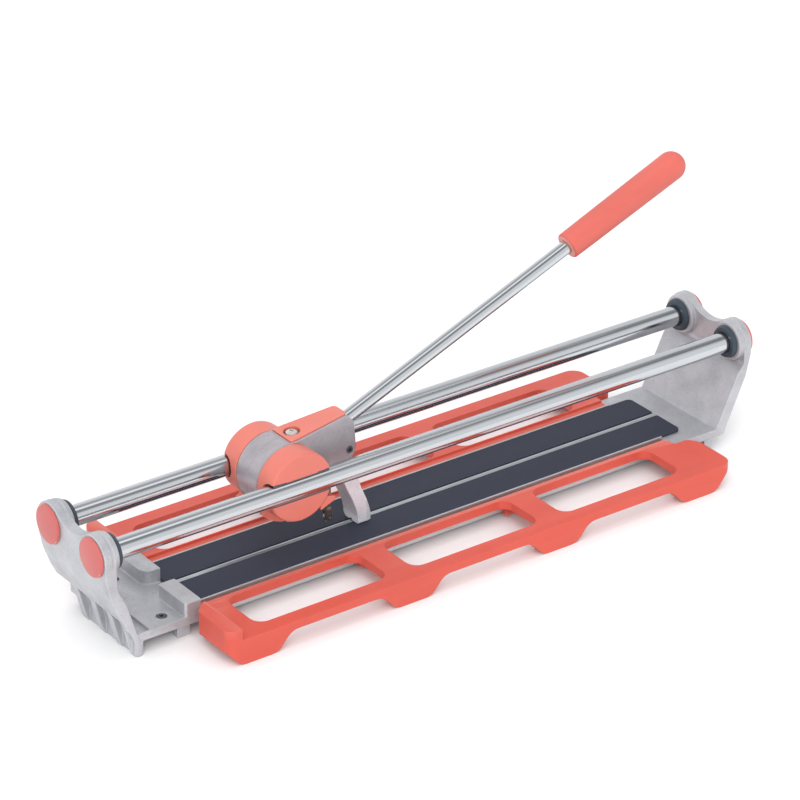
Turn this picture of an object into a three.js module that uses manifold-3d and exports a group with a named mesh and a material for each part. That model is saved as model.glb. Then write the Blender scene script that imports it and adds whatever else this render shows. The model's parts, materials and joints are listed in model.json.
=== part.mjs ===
// Manual tile cutter: two round rails between cast end supports, a carriage with a long lever that
// scores the tile and breaks it, a rubber-topped bed and two folding-free side wings.
// Millimetres, +Z up. X runs along the rails, from the fence end (-X) to the far end (+X).
// The origin is on the floor, under the middle of the object.

import * as THREE from 'three';
import { mergeVertices } from 'three/addons/utils/BufferGeometryUtils.js';
import Module from 'manifold-3d';

const wasm = await Module();
wasm.setup();

// ---------------------------------------------------------------- driving dimensions
const HALF_LENGTH = 334;                                  // to the crown of the end caps
const RAIL = { r: 9, y: 32.7, z: 92, from: -315.2, to: 316.2 };
const BED = { from: -242, to: 243, deck: 20.2, top: 22.7, halfWidth: 37.5 };
const CAST = { halfWidth: 50.5, plateHalf: 51.2, slabBottom: 13, bossR: 19, boreR: 4.5 };
const SADDLE = { r: 35.1, z: 135.1, top: 107.1, half: 21.2 };   // dip between the two bosses of a support
const FENCE = { top: 32.7, depth: 15.5 };                 // stop faces that the tile rests against
const WING = { inner: 40, outer: 109.6, top: 23, bottom: 15.5, from: -255, to: 263 };
const PIVOT = { x: -134, z: RAIL.z };                     // lever pivot, level with the rails
const HUB = { r: 30.4, half: 15.1 };                      // drum of the lever head
const CHEEK = { r: 30.4, inner: 15.4, outer: 36.9 };      // carriage cheeks, one on each rail
const LEVER_ANGLE = THREE.MathUtils.degToRad(22.1);       // rod above level, breaker foot on the bed
const GRIP = { from: 320, to: 452.5, r: 12.2 };           // along the rod, from the pivot
const ROD_R = 6;
const GAP = 0.3;                                          // between pieces that touch

// ---------------------------------------------------------------- materials
const finish = (color, roughness, metalness) => new THREE.MeshStandardMaterial({ color, roughness, metalness });
const orangePlastic = () => finish(0xe8786a, 0.42, 0);
const chromePlate = () => finish(0xd9dee2, 0.12, 1);
const castAluminium = () => finish(0xbfc1c4, 0.5, 0.85);
const greyCasting = () => finish(0xa29aa0, 0.5, 0.85);
const extrudedAluminium = () => finish(0xc9cbcc, 0.4, 0.9);
const steel = () => finish(0xb4b6b8, 0.3, 1);
const blackSteel = () => finish(0x2a2c30, 0.45, 0.7);
const darkRubber = () => finish(0x3a3f4e, 0.85, 0);
const slatePlastic = () => finish(0x2d3a44, 0.5, 0);
const bronze = () => finish(0xa8814a, 0.4, 0.9);

// ---------------------------------------------------------------- solids
// A closed triangle mesh as a Manifold, whichever way its faces were wound.
function solid(geometry) {
  const bare = geometry.index ? geometry.clone() : geometry;
  bare.deleteAttribute('normal');
  bare.deleteAttribute('uv');
  const merged = mergeVertices(bare, 1e-4);
  const points = merged.attributes.position.array;
  const corner = (i) => new THREE.Vector3().fromArray(points, 3 * i);
  const triangles = [];
  let volume = 0;
  for (let i = 0; i < merged.index.count; i += 3) {
    const [a, b, c] = [0, 1, 2].map((k) => merged.index.getX(i + k));
    if (a === b || b === c || c === a) continue;
    triangles.push(a, b, c);
    volume += corner(a).dot(corner(b).cross(corner(c)));
  }
  if (volume < 0) triangles.reverse();
  return new wasm.Manifold(new wasm.Mesh({
    numProp: 3,
    vertProperties: new Float32Array(points),
    triVerts: new Uint32Array(triangles),
  }));
}

const join = (...bodies) => bodies.reduce((whole, body) => whole.add(body));
const cut = (body, ...tools) => tools.reduce((rest, tool) => rest.subtract(tool), body);

function geometryOf(body) {
  const mesh = body.getMesh();
  const geometry = new THREE.BufferGeometry();
  geometry.setAttribute('position', new THREE.BufferAttribute(new Float32Array(mesh.vertProperties), 3));
  geometry.setIndex(Array.from(mesh.triVerts));
  const faceted = geometry.toNonIndexed();
  faceted.computeVertexNormals();
  return faceted;
}

// A closed outline from [u, v] corners; a third number rounds that corner by about that radius.
function outline(points) {
  const area = THREE.ShapeUtils.area(points.map(([u, v]) => new THREE.Vector2(u, v)));
  const corners = area < 0 ? points.toReversed() : points;
  const at = (i) => new THREE.Vector2(...corners[(i + corners.length) % corners.length].slice(0, 2));
  const shape = new THREE.Shape();
  corners.forEach(([, , radius = 0], i) => {
    const here = at(i);
    const back = here.clone().add(at(i - 1).sub(here).setLength(radius || 1e-9));
    const ahead = here.clone().add(at(i + 1).sub(here).setLength(radius || 1e-9));
    const enter = radius ? back : here;
    if (i === 0) shape.moveTo(enter.x, enter.y);
    else shape.lineTo(enter.x, enter.y);
    if (radius) shape.quadraticCurveTo(here.x, here.y, ahead.x, ahead.y);
  });
  shape.closePath();
  return shape;
}

// Prisms: an outline in the other two axes, from one value to another along the named axis.
const COLUMNS = {
  x: [[0, 1, 0], [0, 0, 1], [1, 0, 0]],
  y: [[1, 0, 0], [0, 0, 1], [0, -1, 0]],
  z: [[1, 0, 0], [0, 1, 0], [0, 0, 1]],
};
function prism(axis, shape, from, to, curveSegments = 3) {
  const flat = shape instanceof THREE.Shape ? shape : outline(shape);
  const geometry = new THREE.ExtrudeGeometry(flat, { depth: to - from, bevelEnabled: false, curveSegments });
  const basis = new THREE.Matrix4().makeBasis(...COLUMNS[axis].map((v) => new THREE.Vector3(...v)));
  const shift = { x: [from, 0, 0], y: [0, to, 0], z: [0, 0, from] }[axis];
  return solid(geometry.applyMatrix4(basis).translate(...shift));
}

function box(x0, x1, y0, y1, z0, z1) {
  const geometry = new THREE.BoxGeometry(x1 - x0, y1 - y0, z1 - z0);
  return solid(geometry.translate((x0 + x1) / 2, (y0 + y1) / 2, (z0 + z1) / 2));
}

// A turned body about an axis through centre: profile is [place along the axis, radius] pairs.
function turned(axis, profile, centre = [0, 0, 0], segments = 20) {
  const geometry = new THREE.LatheGeometry(profile.map(([t, r]) => new THREE.Vector2(r, t)), segments);
  if (axis === 'x') geometry.rotateZ(-Math.PI / 2);
  if (axis === 'z') geometry.rotateX(Math.PI / 2);
  return solid(geometry.translate(...centre));
}
const cylinder = (axis, r, from, to, centre, segments) =>
  turned(axis, [[from, 0], [from, r], [to, r], [to, 0]], centre, segments);
const tube = (axis, inner, outer, from, to, centre, segments) =>
  turned(axis, [[from, inner], [from, outer], [to, outer], [to, inner], [from, inner]], centre, segments);

// A curved wall round an axis: a sector of a ring between two radii and two angles, in degrees.
function ringSector(axis, [u, v], inner, outer, start, end, from, to) {
  const [a, b] = [start, end].map(THREE.MathUtils.degToRad);
  const shape = new THREE.Shape();
  shape.absarc(u, v, outer, a, b, false);
  shape.absarc(u, v, inner, b, a, true);
  shape.closePath();
  return prism(axis, shape, from, to, 9);
}

const model = new THREE.Group();
function add(name, body, material, parent = model) {
  const mesh = new THREE.Mesh(geometryOf(body), material);
  mesh.name = name;
  parent.add(mesh);
  return mesh;
}
// front is the -Y side and back the +Y side
const SIDES = [['front', -1], ['back', 1]];
const span = (side, near, far) => (side < 0 ? [-far, -near] : [near, far]);

// ---------------------------------------------------------------- bed
const WALL = { inner: 32, outer: 38.8, bottom: 6, top: 12.7 };     // lower flanges of the bed profile
const SCREW = { x: 270.8, y: 36, shankR: 2, boreR: 2.3 };
const WING_TAB_X = 75;
const TAB_SCREW_Y = 35.4;

function bedProfile() {
  const [x0, x1] = [BED.from + GAP, BED.to - GAP];
  let body = box(x0, x1, -BED.halfWidth, BED.halfWidth, 17, BED.deck);
  for (const [, side] of SIDES) {
    body = join(
      body,
      box(x0, x1, ...span(side, 35.9, BED.halfWidth), 17, BED.top + 0.2),
      box(x0, x1, ...span(side, WALL.inner, BED.halfWidth), WALL.top, 17.5),
      box(-288, 288, ...span(side, WALL.inner, WALL.outer), WALL.bottom, WALL.top),
      box(x0, x1, ...span(side, 8, 10), WALL.bottom, 17.5),
    );
    for (const x of [-SCREW.x, SCREW.x + 8]) {
      body = cut(body, cylinder('z', SCREW.boreR, 0, WALL.top + 1, [x, side * SCREW.y, 0], 12));
    }
    for (const x of [-WING_TAB_X, WING_TAB_X]) {
      body = cut(body, cylinder('z', SCREW.boreR, 0, 11, [x, side * TAB_SCREW_Y, 0], 12));
    }
  }
  return body;
}
add('bed_profile', bedProfile(), extrudedAluminium());
add('breaking_ridge', prism('x', [[-2.3, 20.5], [2.3, 20.5], [2.3, 22.2, 0.6], [0, 23.2, 1], [-2.3, 22.2, 0.6]],
  BED.from + GAP, 265.5), steel());
for (const [place, side] of SIDES) {
  const corner = (x, y, r = 0) => [x, side * y, r];
  add(`pad_${place}`, prism('z', [
    corner(BED.from + GAP, 3.2), corner(265.5, 3.2, 1.5), corner(265.5, 35.5, 5), corner(BED.from + GAP, 35.5),
  ], BED.deck + GAP, BED.top), darkRubber());
}

// ---------------------------------------------------------------- end supports
// Screws stand in the slab and hold it down on the lower flanges of the bed profile.
function slabScrewHoles(x) {
  return SIDES.flatMap(([, side]) => [
    cylinder('z', SCREW.boreR, 10, 25, [x, side * SCREW.y, 0], 12),
    cylinder('z', 4.5, 16.4, 25, [x, side * SCREW.y, 0], 12),
  ]);
}

// The plate between the bosses of a support, dipping in the middle.
const bossBridge = (x0, x1) => cut(
  box(x0, x1, -SADDLE.half, SADDLE.half, RAIL.z - 2, SADDLE.top),
  cylinder('x', SADDLE.r, x0 - 5, x1 + 5, [0, 0, SADDLE.z], 64),
);

function stopEndSupport() {
  // The leaning end plate runs down into feet; it carries the two rail bosses.
  const plate = prism('y', [
    [-304.5, 0, 1.5], [-307.5, 8], [-312.8, 30, 6], [-320, 44, 6], [-326.5, 62, 6], [-330, 80, 6],
    [-330, RAIL.z], [-319.5, RAIL.z], [-319.5, 66, 6], [-311.5, 50, 6], [-300.5, CAST.slabBottom], [-298.5, 0, 1.5],
  ], -CAST.plateHalf, CAST.plateHalf);
  const bossAt = (side) => turned('x', [
    [-330, 0], [-330, CAST.bossR], [-323.5, CAST.bossR], [-322.6, 18.2], [-321.4, 18.2], [-320.4, 18.7],
    [-315.5, 17.2], [-315.5, 0],
  ], [0, side * RAIL.y, RAIL.z], 28);
  // Pockets leave three ribs and a thin blade under the plate; both its corners are cut off short.
  const pocket = (y0, y1, reach = -303) => prism('y', [
    [-340, -1], [reach, -1], [reach, 15], [-306, 26, 3], [-313, 33, 3], [-340, 33],
  ], y0, y1);
  const cornerPocket = prism('y', [
    [-340, -1], [-303.5, -1], [-303.5, 10, 2], [-309.5, 24, 3], [-314, 28], [-340, 28],
  ], -52, -45.3);
  const pockets = [pocket(-43.8, -29), pocket(-21.5, -4), pocket(3.5, 21), pocket(28.5, 60, -296), cornerPocket];
  const slab = box(-303, BED.from, -CAST.halfWidth, CAST.halfWidth, CAST.slabBottom, BED.deck);
  const tray = prism('z', [[-310, -48.3], [-290, -48.3, 1.5], [-290, 48.3, 1.5], [-310, 48.3]], 17, 25);
  const traySide = prism('y', [[-300.2, 16], [-280, 16], [-280, 30], [-307, 30]], -60, 60);
  const blockCorner = { front: 1.5, back: 9 };
  const blocks = SIDES.map(([place, side]) => prism('z', [
    [BED.from, side * 10.5], [BED.from, side * 50.3, 1], [BED.from - FENCE.depth, side * 50.3, 1.5],
    [BED.from - FENCE.depth, side * 10.5, blockCorner[place]],
  ], CAST.slabBottom, FENCE.top));
  const frontLeg = prism('x', [[-50.8, 16], [-42.5, 16], [-44.5, 0], [-50, 0]], -305, -297.5);
  const backLeg = prism('x', [[50, 16], [42.5, 16], [44.5, 0], [49.5, 0]], -296, -288);
  const feet = [-42, 42].map((y) => box(-262, -250, y - 3, y + 3, 0, 15));
  let body = join(cut(plate, ...pockets), bossBridge(-330, -319.5), bossAt(-1), bossAt(1), slab);
  body = cut(body, tray.intersect(traySide));
  body = join(body, ...blocks, frontLeg, backLeg, ...feet);
  for (const [, side] of SIDES) {
    const centre = [0, side * RAIL.y, RAIL.z];
    body = cut(body, cylinder('x', CAST.boreR, -335, -300, centre, 16), cylinder('x', 13, -335, -322, centre, 24));
  }
  return cut(body, ...slabScrewHoles(-SCREW.x));
}

function farEndSupport() {
  const plate = prism('y', [
    [291, CAST.slabBottom], [301, CAST.slabBottom], [314, 42, 8], [324, 63.5, 8], [329, 84, 6], [329, RAIL.z],
    [321.5, RAIL.z], [321.5, 75, 3], [315, 68, 4], [292.3, 20.2],
  ], -CAST.plateHalf, CAST.plateHalf);
  const bossAt = (side) => turned('x', [
    [316.5, 0], [316.5, 17], [317.7, 17.8], [322, 17.8], [323, CAST.bossR], [329, CAST.bossR], [329, 0],
  ], [0, side * RAIL.y, RAIL.z], 28);
  const slab = box(BED.to, 296, -CAST.plateHalf, CAST.plateHalf, CAST.slabBottom, BED.deck);
  const legs = SIDES.flatMap(([, side]) => [
    box(280, 288, ...span(side, 45, 50.5), 0, 15),
    box(252, 262, ...span(side, 40, 46), 0, 15),
  ]);
  const ribs = [-25, 0, 25].map((y) => prism('y', [[290, 0], [297, 0], [304, 20], [290, 20]], y - 3, y + 3));
  let body = join(plate, bossBridge(321.5, 329), bossAt(-1), bossAt(1), slab, ...legs, ...ribs);
  for (const [, side] of SIDES) {
    const centre = [0, side * RAIL.y, RAIL.z];
    body = cut(body, cylinder('x', CAST.boreR, 300, 335, centre, 16), cylinder('x', 13, 323.5, 335, centre, 24));
    body = cut(body, cylinder('z', SCREW.boreR, 10, 18, [SCREW.x + 8, side * SCREW.y, 0], 12));
  }
  return body;
}
add('stop_end_support', stopEndSupport(), castAluminium());
add('far_end_support', farEndSupport(), castAluminium());

// ---------------------------------------------------------------- rails and what holds them
// Each end has a flanged bush, a bolt with its washer, and a press-in cap that hides them.
const RAIL_BORE = { r: 4.3, depth: 26 };
const BOLT = { shankR: 3.9, headR: 6.4, length: 22 };
const ENDS = [
  {
    name: 'stop', out: -1, face: -330, floor: -322, headHeight: 4.2, railEnd: RAIL.from, bushFace: -315.5, bushR: 16,
  },
  {
    name: 'far', out: 1, face: 329, floor: 323.5, headHeight: 3, railEnd: RAIL.to, bushFace: 316.5, bushR: 14.6,
  },
];
for (const [place, side] of SIDES) {
  const centre = [0, side * RAIL.y, RAIL.z];
  const bores = [
    cylinder('x', RAIL_BORE.r, RAIL.from - 1, RAIL.from + RAIL_BORE.depth, centre, 16),
    cylinder('x', RAIL_BORE.r, RAIL.to - RAIL_BORE.depth, RAIL.to + 1, centre, 16),
  ];
  const bar = turned('x', [
    [RAIL.from, 0], [RAIL.from, RAIL.r], [RAIL.to, RAIL.r], [RAIL.to, 0],
  ], centre, 28);
  add(`rail_${place}`, cut(bar, ...bores), chromePlate());
  for (const end of ENDS) {
    const along = (distance) => end.face + end.out * distance;          // outward from the boss face
    const inward = (from, distance) => from - end.out * distance;
    const label = `${end.name}_${place}`;
    const bushSeat = inward(end.bushFace, 0.2);
    add(`rail_bush_${label}`, turned('x', [
      [bushSeat, RAIL.r + GAP], [bushSeat, end.bushR], [inward(end.bushFace, 1.2), end.bushR],
      [inward(end.bushFace, 4.5), end.bushR - 1.4], [inward(end.bushFace, 4.5), RAIL.r + GAP],
      [bushSeat, RAIL.r + GAP],
    ], centre, 20), slatePlastic());
    const washer = [inward(end.floor, -0.2), inward(end.floor, -1.4)].sort((a, b) => a - b);
    add(`rail_washer_${label}`, tube('x', CAST.boreR, 8.4, ...washer, centre, 16), steel());
    const headSeat = inward(end.floor, -1.6);
    const head = [headSeat, headSeat + end.out * end.headHeight].sort((a, b) => a - b);
    const shank = [headSeat + end.out * 0.5, inward(end.railEnd, BOLT.length)].sort((a, b) => a - b);
    add(`rail_bolt_${label}`, join(
      cylinder('x', BOLT.headR, ...head, centre, 6),
      cylinder('x', BOLT.shankR, ...shank, centre, 12),
    ), steel());
    const crown = end.out * HALF_LENGTH;
    add(`end_cap_${label}`, turned('x', [
      [crown, 0], [crown - end.out * 0.3, 9], [crown - end.out * 0.9, 15.3], [along(0.2), 17], [along(0.2), 12.6],
      [along(-2), 12.6], [along(-2), 9], [along(1), 9], [along(1), 0],
    ], centre, 28), orangePlastic());
  }
}

// Screws that hold the supports down on the bed profile: from above at the stop end, from below at the far end.
for (const [place, side] of SIDES) {
  const y = side * SCREW.y;
  const socket = cylinder('z', 1.8, 18.4, 25, [-SCREW.x, y, 0], 6);
  add(`stop_support_screw_${place}`, cut(join(
    cylinder('z', 4.1, 16.8, 20, [-SCREW.x, y, 0], 16),
    cylinder('z', SCREW.shankR, 7, 17, [-SCREW.x, y, 0], 10),
  ), socket), blackSteel());
  add(`far_support_screw_${place}`, join(
    cylinder('z', 4.1, 2.6, 5.7, [SCREW.x + 8, y, 0], 16),
    cylinder('z', SCREW.shankR, 5, 17, [SCREW.x + 8, y, 0], 10),
  ), blackSteel());
}

// ---------------------------------------------------------------- side wings
const WINDOWS = [[-219, -89.5], [-66, 65], [88.3, 216.5]];
const WINDOW_Y = [47.5, 96];
const FOOT_CENTRES = [-226, -75.3, 75.3, 226];

function wing(side) {
  const flip = ([x, y, r]) => [x, side * y, r];
  const plan = outline([
    [-241.6, WING.inner], [BED.to - 0.4, WING.inner], [BED.to - 0.4, 54.5], [258, 54.5, 3], [WING.to, 64, 5],
    [WING.to, WING.outer, 14], [WING.from, WING.outer, 12], [WING.from, 66, 2], [-244.5, 55.5, 1], [-241.6, 55.5],
  ].map(flip));
  for (const [x0, x1] of WINDOWS) {
    const [y0, y1] = WINDOW_Y;
    plan.holes.push(outline([[x0, y0, 12], [x1, y0, 12], [x1, y1, 12], [x0, y1, 12]].map(flip)));
  }
  const whole = prism('z', plan, 0, FENCE.top, 4);
  const zone = (x0, x1, y0, y1, z0, z1) => whole.intersect(box(x0, x1, ...span(side, y0, y1), z0, z1));
  const deck = zone(-260, 270, 46.5, 120, WING.bottom, WING.top);
  const innerBar = zone(-260, 270, 30, 47, WING.bottom, 21);
  const fence = zone(-260, BED.from, 30, 120, 12.5, FENCE.top);
  // Each foot swells out of the outer bar in an S-curve to a flat sole.
  const feet = FOOT_CENTRES.map((x) => {
    const flank = new THREE.Shape();
    flank.moveTo(x - 40, 18);
    flank.lineTo(x - 40, WING.bottom);
    flank.bezierCurveTo(x - 24, WING.bottom, x - 26, 0, x - 11, 0);
    flank.lineTo(x + 11, 0);
    flank.bezierCurveTo(x + 26, 0, x + 24, WING.bottom, x + 40, WING.bottom);
    flank.lineTo(x + 40, 18);
    return prism('y', flank, ...span(side, 96, 120), 6).intersect(whole);
  });
  // Hooked tabs reach under the flange of the bed profile.
  const tabs = [-WING_TAB_X, WING_TAB_X].flatMap((x) => [
    box(x - 6, x + 6, ...span(side, WALL.outer + GAP, 43.5), 3.4, 18),
    box(x - 6, x + 6, ...span(side, 31, 43.5), 3.4, WALL.bottom - GAP),
  ]);
  const holes = [-WING_TAB_X, WING_TAB_X].map((x) =>
    cylinder('z', SCREW.boreR, 0, 8, [x, side * TAB_SCREW_Y, 0], 12));
  return cut(join(deck, innerBar, fence, ...feet, ...tabs), ...holes);
}
for (const [place, side] of SIDES) {
  add(`wing_${place}`, wing(side), orangePlastic());
  for (const [end, x] of [['stop', -WING_TAB_X], ['far', WING_TAB_X]]) {
    add(`wing_screw_${end}_${place}`, join(
      cylinder('z', 3.8, 1, 3.1, [x, side * TAB_SCREW_Y, 0], 14),
      cylinder('z', SCREW.shankR, 2, 10, [x, side * TAB_SCREW_Y, 0], 12),
    ), steel());
  }
}

// ---------------------------------------------------------------- carriage, placed at the lever pivot
const carriage = new THREE.Group();
carriage.position.set(PIVOT.x, 0, PIVOT.z);
model.add(carriage);
const LUG = { inner: 31, outer: 36.5, start: -140, end: -55, depth: 20 };
const PIN = { r: 5, half: 21.4 };
const BRIDGE_SCREW = { angle: THREE.MathUtils.degToRad(-97), radius: 33.5, r: 1.5 };
const bridgeScrewX = BRIDGE_SCREW.radius * Math.cos(BRIDGE_SCREW.angle);
const bridgeScrewZ = BRIDGE_SCREW.radius * Math.sin(BRIDGE_SCREW.angle);

// A cheek is a thick round housing with a rail channel that opens outwards.
function cheek(side) {
  const drum = turned('y', [
    [0, 0], [0, CHEEK.r], [CHEEK.outer - CHEEK.inner - 3, CHEEK.r], [CHEEK.outer - CHEEK.inner - 0.9, CHEEK.r - 0.9],
    [CHEEK.outer - CHEEK.inner, CHEEK.r - 3], [CHEEK.outer - CHEEK.inner, 0],
  ].map(([t, r]) => [side * (CHEEK.inner + t), r]), [0, 0, 0], 40);
  const lug = ringSector('y', [0, 0], 28, LUG.outer, LUG.start, LUG.end, ...span(side, CHEEK.inner, LUG.depth));
  const tab = prism('y', [[20, -16], [34, -18.5, 1.5], [34, -22.5, 1.5], [20, -28]], ...span(side, 20, 34));
  const channel = cylinder('x', 10.6, -50, 50, [0, side * RAIL.y, 0], 28);
  const pinBore = cylinder('y', PIN.r + GAP, ...span(side, 10, PIN.half + GAP), [0, 0, 0], 20);
  const screwBore = cylinder('y', BRIDGE_SCREW.r + GAP, ...span(side, 10, 22), [bridgeScrewX, 0, bridgeScrewZ], 12);
  return cut(join(drum, lug, tab), channel, pinBore, screwBore);
}
for (const [place, side] of SIDES) {
  add(`carriage_cheek_${place}`, cheek(side), orangePlastic(), carriage);
  const open = side < 0 ? 180 : 0;                       // the liner's gap faces outwards
  add(`rail_liner_${place}`, ringSector('x', [side * RAIL.y, 0], RAIL.r + GAP, 10.2, open + 68, open + 292, -27, 27),
    slatePlastic(), carriage);
  const headAt = span(side, LUG.depth + 0.2, LUG.depth + 2.2);
  const shankAt = span(side, 8, LUG.depth + 1);
  const screwCentre = [bridgeScrewX, 0, bridgeScrewZ];
  add(`bridge_screw_${place}`, join(
    cylinder('y', 2.7, ...headAt, screwCentre, 16),
    cylinder('y', BRIDGE_SCREW.r, ...shankAt, screwCentre, 12),
  ), steel(), carriage);
}
const bridge = ringSector('y', [0, 0], LUG.inner, LUG.outer, LUG.start, LUG.end, -HUB.half, HUB.half);
const bridgeBores = SIDES.map(([, side]) =>
  cylinder('y', BRIDGE_SCREW.r + GAP, ...span(side, 7, 20), [bridgeScrewX, 0, bridgeScrewZ], 12));
add('carriage_bridge', cut(bridge, ...bridgeBores), castAluminium(), carriage);
add('pivot_pin', cylinder('y', PIN.r, -PIN.half, PIN.half, [0, 0, 0], 20), steel(), carriage);

// ---------------------------------------------------------------- lever, on the pivot
const lever = new THREE.Group();
lever.position.set(PIVOT.x, 0, PIVOT.z);
model.add(lever);
const HEAD_TOP = { start: [4, 30.2], end: [63, 36.6] };   // top line of the tapered head, at the middle
const COVER = { start: 5, end: 64, screwX: 15, inset: 1.4, thickness: 2.6, proud: 1.1 };
const STEM = { x: 49.5, r: 3, top: 8, bottom: -52, forkR: 4 };
const CLAMP = { x: 65.5, z: 3.6, r: 3 };
const WHEEL = { r: 5, half: 1, z: -58 };
const BUSH = { outer: 7, from: 8, to: 14.8 };
const headTopAt = (x, lift = 0) => {
  const slope = (HEAD_TOP.end[1] - HEAD_TOP.start[1]) / (HEAD_TOP.end[0] - HEAD_TOP.start[0]);
  return [x, HEAD_TOP.start[1] + slope * (x - HEAD_TOP.start[0]) + lift];
};
// Plan of the head: full width at the drum, narrow where the rod comes out.
const headPlan = (inset, from, to) => {
  const half = (x) => (x < 12 ? HUB.half : HUB.half - (x - 12) * 0.092) - inset;
  return prism('z', [
    [from, -half(from)], [12, -half(12)], [to, -half(to), 4], [to, half(to), 4], [12, half(12)], [from, half(from)],
  ], -80, 60);
};
const rodBore = () => solid(new THREE.CylinderGeometry(ROD_R + GAP, ROD_R + GAP, 64, 24)
  .rotateZ(-Math.PI / 2).translate(68, 0, 0).rotateY(-LEVER_ANGLE));
const coverPocket = (lift, top, inset, from, to) => prism('y', [
  headTopAt(from, lift), headTopAt(to, lift), headTopAt(to, top), headTopAt(from, top),
], -30, 30).intersect(headPlan(inset, from, to));

function leverHead() {
  const drum = turned('y', [
    [-HUB.half, 0], [-HUB.half, HUB.r - 1.2], [1.2 - HUB.half, HUB.r], [HUB.half - 1.2, HUB.r],
    [HUB.half, HUB.r - 1.2], [HUB.half, 0],
  ], [0, 0, 0], 40);
  const arm = prism('y', [
    [0, 0], HEAD_TOP.start, [...HEAD_TOP.end, 5], [70, 29, 4], [73, 3.5, 3], [68, -4.5, 2.5], [20, -4.5], [0, -20],
  ], -20, 20).intersect(headPlan(0, -5, 74));
  return cut(
    join(drum, arm),
    cylinder('y', BUSH.outer + GAP, -20, 20, [0, 0, 0], 20),
    coverPocket(-COVER.thickness, 12, COVER.inset, COVER.start, COVER.end),
    rodBore(),
    cylinder('z', STEM.r + GAP, -20, STEM.top + GAP, [STEM.x, 0, 0], 16),
    cylinder('z', 3.1, 16, 40, [COVER.screwX, 0, 0], 14),
    box(56, 69, -5.3, 5.3, -20, 5),
    cylinder('y', CLAMP.r + GAP, -20, -5, [CLAMP.x, 0, CLAMP.z], 16),
  );
}
add('lever_head', leverHead(), greyCasting(), lever);
for (const [place, side] of SIDES) {
  add(`pivot_bush_${place}`, tube('y', PIN.r + 0.15, BUSH.outer, ...span(side, BUSH.from, BUSH.to), [0, 0, 0], 20),
    bronze(), lever);
}
const screwHole = cylinder('z', 7, 20, 50, [COVER.screwX, 0, 0], 20);
add('head_cover', cut(coverPocket(GAP - COVER.thickness, COVER.proud, COVER.inset + GAP,
  COVER.start + GAP, COVER.end - GAP), screwHole), orangePlastic(), lever);
const coverScrewSeat = headTopAt(COVER.screwX, GAP - COVER.thickness + 0.4)[1];
add('cover_screw', join(
  turned('z', [[coverScrewSeat, 0], [coverScrewSeat, 5.4], [coverScrewSeat + 1.8, 5.2], [coverScrewSeat + 3, 3.4],
    [coverScrewSeat + 3.3, 0]], [COVER.screwX, 0, 0], 14),
  cylinder('z', 2.8, 17, coverScrewSeat + 1, [COVER.screwX, 0, 0], 14),
), steel(), lever);
add('clamp_screw', cut(
  cylinder('y', CLAMP.r, -10.6, -5.6, [CLAMP.x, 0, CLAMP.z], 20),
  cylinder('y', 1.5, -12, -8.6, [CLAMP.x, 0, CLAMP.z], 6),
), blackSteel(), lever);

// The rod and grip lie along the lever's own axis.
const rodAndGrip = new THREE.Group();
rodAndGrip.rotation.y = -LEVER_ANGLE;
lever.add(rodAndGrip);
const rodEnd = GRIP.to - 12;
add('lever_rod', cylinder('x', ROD_R, 36 + GAP, rodEnd, [0, 0, 0], 20), chromePlate(), rodAndGrip);
const gripProfile = [
  [GRIP.from, ROD_R + GAP], [GRIP.from, GRIP.r - 1.4], [GRIP.from + 1.6, GRIP.r], [GRIP.to - 14, GRIP.r + 1],
  ...[0.35, 0.7, 0.9].map((t) => [GRIP.to - 14 + 14 * t, (GRIP.r + 1) * Math.sqrt(1 - t * t)]),
  [GRIP.to, 0], [rodEnd + GAP, 0], [rodEnd + GAP, ROD_R + GAP], [GRIP.from, ROD_R + GAP],
];
add('grip', turned('x', gripProfile, [0, 0, 0], 24), orangePlastic(), rodAndGrip);

// ---------------------------------------------------------------- breaker and scoring wheel
const FOOT = { half: 11, noseHalf: 8.5, bottom: -69 };    // breaker foot, 0.3 mm above the pads at rest
function breaker() {
  const claw = new THREE.Shape();
  claw.moveTo(54.5, -4.8);
  claw.bezierCurveTo(54.5, -26, 70, -42, 73, -62);
  claw.lineTo(73, FOOT.bottom);
  claw.lineTo(87.5, FOOT.bottom);
  claw.bezierCurveTo(88, -52, 72, -36, 69, -4.8);
  const body = prism('y', claw, -FOOT.half, FOOT.half, 10);
  const plan = prism('z', [
    [50, -FOOT.half], [81.5, -FOOT.half, 2], [88, -FOOT.noseHalf, 3], [88, FOOT.noseHalf, 3], [81.5, FOOT.half, 2],
    [50, FOOT.half],
  ], -75, 0);
  const underside = prism('x', [
    [-FOOT.half, FOOT.bottom, 3], [FOOT.half, FOOT.bottom, 3], [FOOT.half, 0], [-FOOT.half, 0],
  ], 40, 100);
  const tang = box(56.4, 68.6, -5, 5, -10, 4.6);
  const ridgeNotch = prism('x', [[-3.4, -71], [3.4, -71], [1.6, -67.6], [-1.6, -67.6]], 40, 100);
  return cut(join(body.intersect(plan).intersect(underside), tang), ridgeNotch);
}
add('breaker', breaker(), greyCasting(), lever);

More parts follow.
